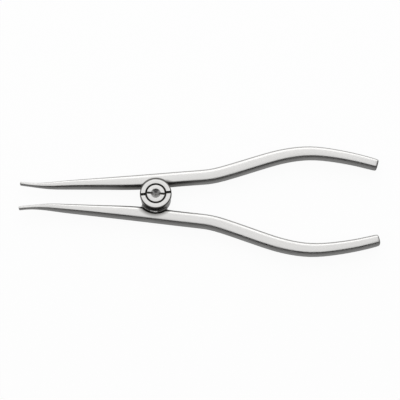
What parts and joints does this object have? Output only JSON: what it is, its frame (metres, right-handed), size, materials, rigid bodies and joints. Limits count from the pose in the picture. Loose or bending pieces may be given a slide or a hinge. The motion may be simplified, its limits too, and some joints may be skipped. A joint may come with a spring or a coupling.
{
  "type": "ligature pliers",
  "caption": "Slim reverse-action pliers: squeezing the bowed handles spreads long tapered beaks; a slotted collar at the lap joint holds the wire ends.",
  "frame": {"origin": "pivot axis at the joint's rear face, where the pivot screw ends flush in the rear eye", "axes": "+X along the handles with the beak tips at -X, +Y towards the upper arm, +Z out of the front, the side of the slotted collar"},
  "size_m": [0.14, 0.045, 0.0072],
  "materials": {
    "arm_steel": "satin, belt-polished along the arm",
    "collar_steel": "fine turned face, satin",
    "screw_steel": "fine turned face, satin"
  },
  "bodies": {
    "lower_lever": {"lower_arm": "arm_steel", "pivot_screw": "screw_steel"},
    "upper_lever": {"upper_arm": "arm_steel", "wire_collar": "collar_steel"}
  },
  "joints": [
    {"name": "pivot", "type": "hinge", "parent": "lower_lever", "child": "upper_lever", "pos_m": [0, 0, 0.0027], "axis": [0, 0, 1], "range_deg": [-17, 8.5]}
  ]
}
